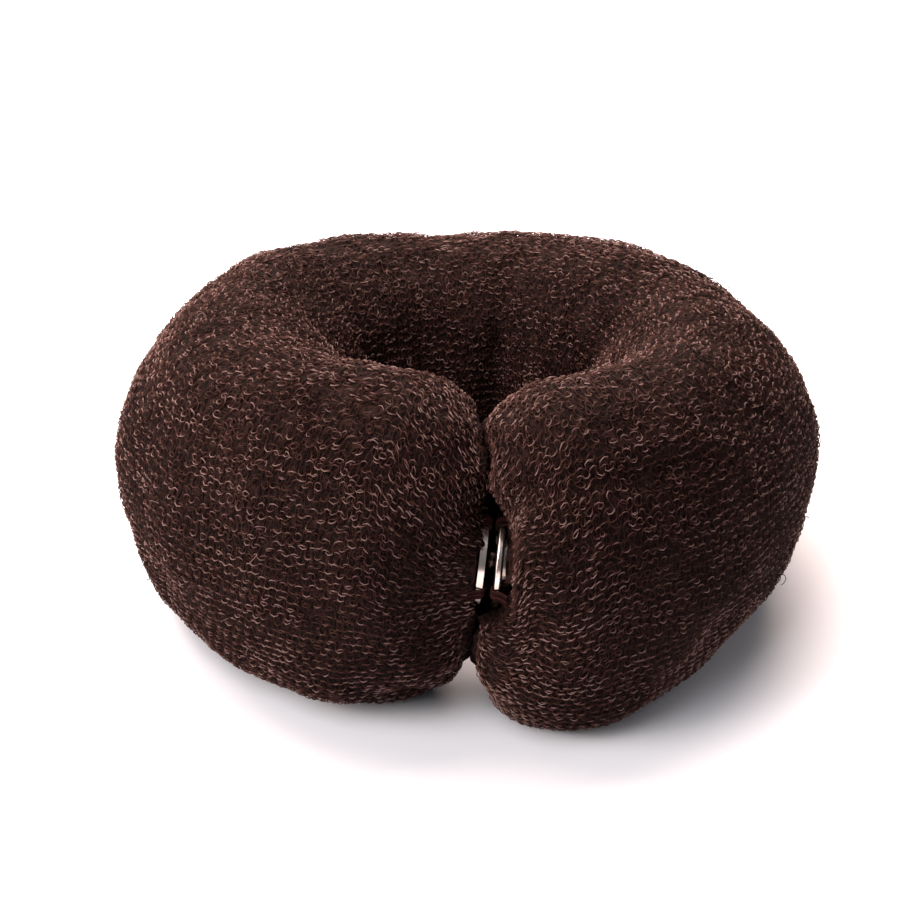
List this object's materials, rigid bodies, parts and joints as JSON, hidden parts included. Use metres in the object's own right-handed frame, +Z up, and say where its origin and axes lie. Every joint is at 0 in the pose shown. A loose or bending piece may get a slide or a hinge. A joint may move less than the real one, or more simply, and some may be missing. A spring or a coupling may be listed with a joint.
{
  "type": "hair bun maker",
  "caption": "Soft ring of dark-brown knitted mesh, a stuffed roll bent round a central hole, its gathered ends joined by a sew-on press stud; hair is spread over it into a bun.",
  "frame": {"origin": "middle of the outline, on the surface that the ring rests on", "axes": "+Z up through the hole; the gathered ends and their snap are on -Y; +X is towards the end that carries the socket"},
  "size_m": [0.0882, 0.0893, 0.0429],
  "materials": {
    "knitted_mesh": "fine dark-brown nylon monofilament, knitted and wound in layers, with small pale glints on its loops",
    "snap_nickel": "stamped brass, bright nickel plated"
  },
  "bodies": {
    "root": {"bun_ring": "knitted_mesh", "snap_stud": "snap_nickel", "snap_socket": "snap_nickel"}
  },
  "joints": []
}
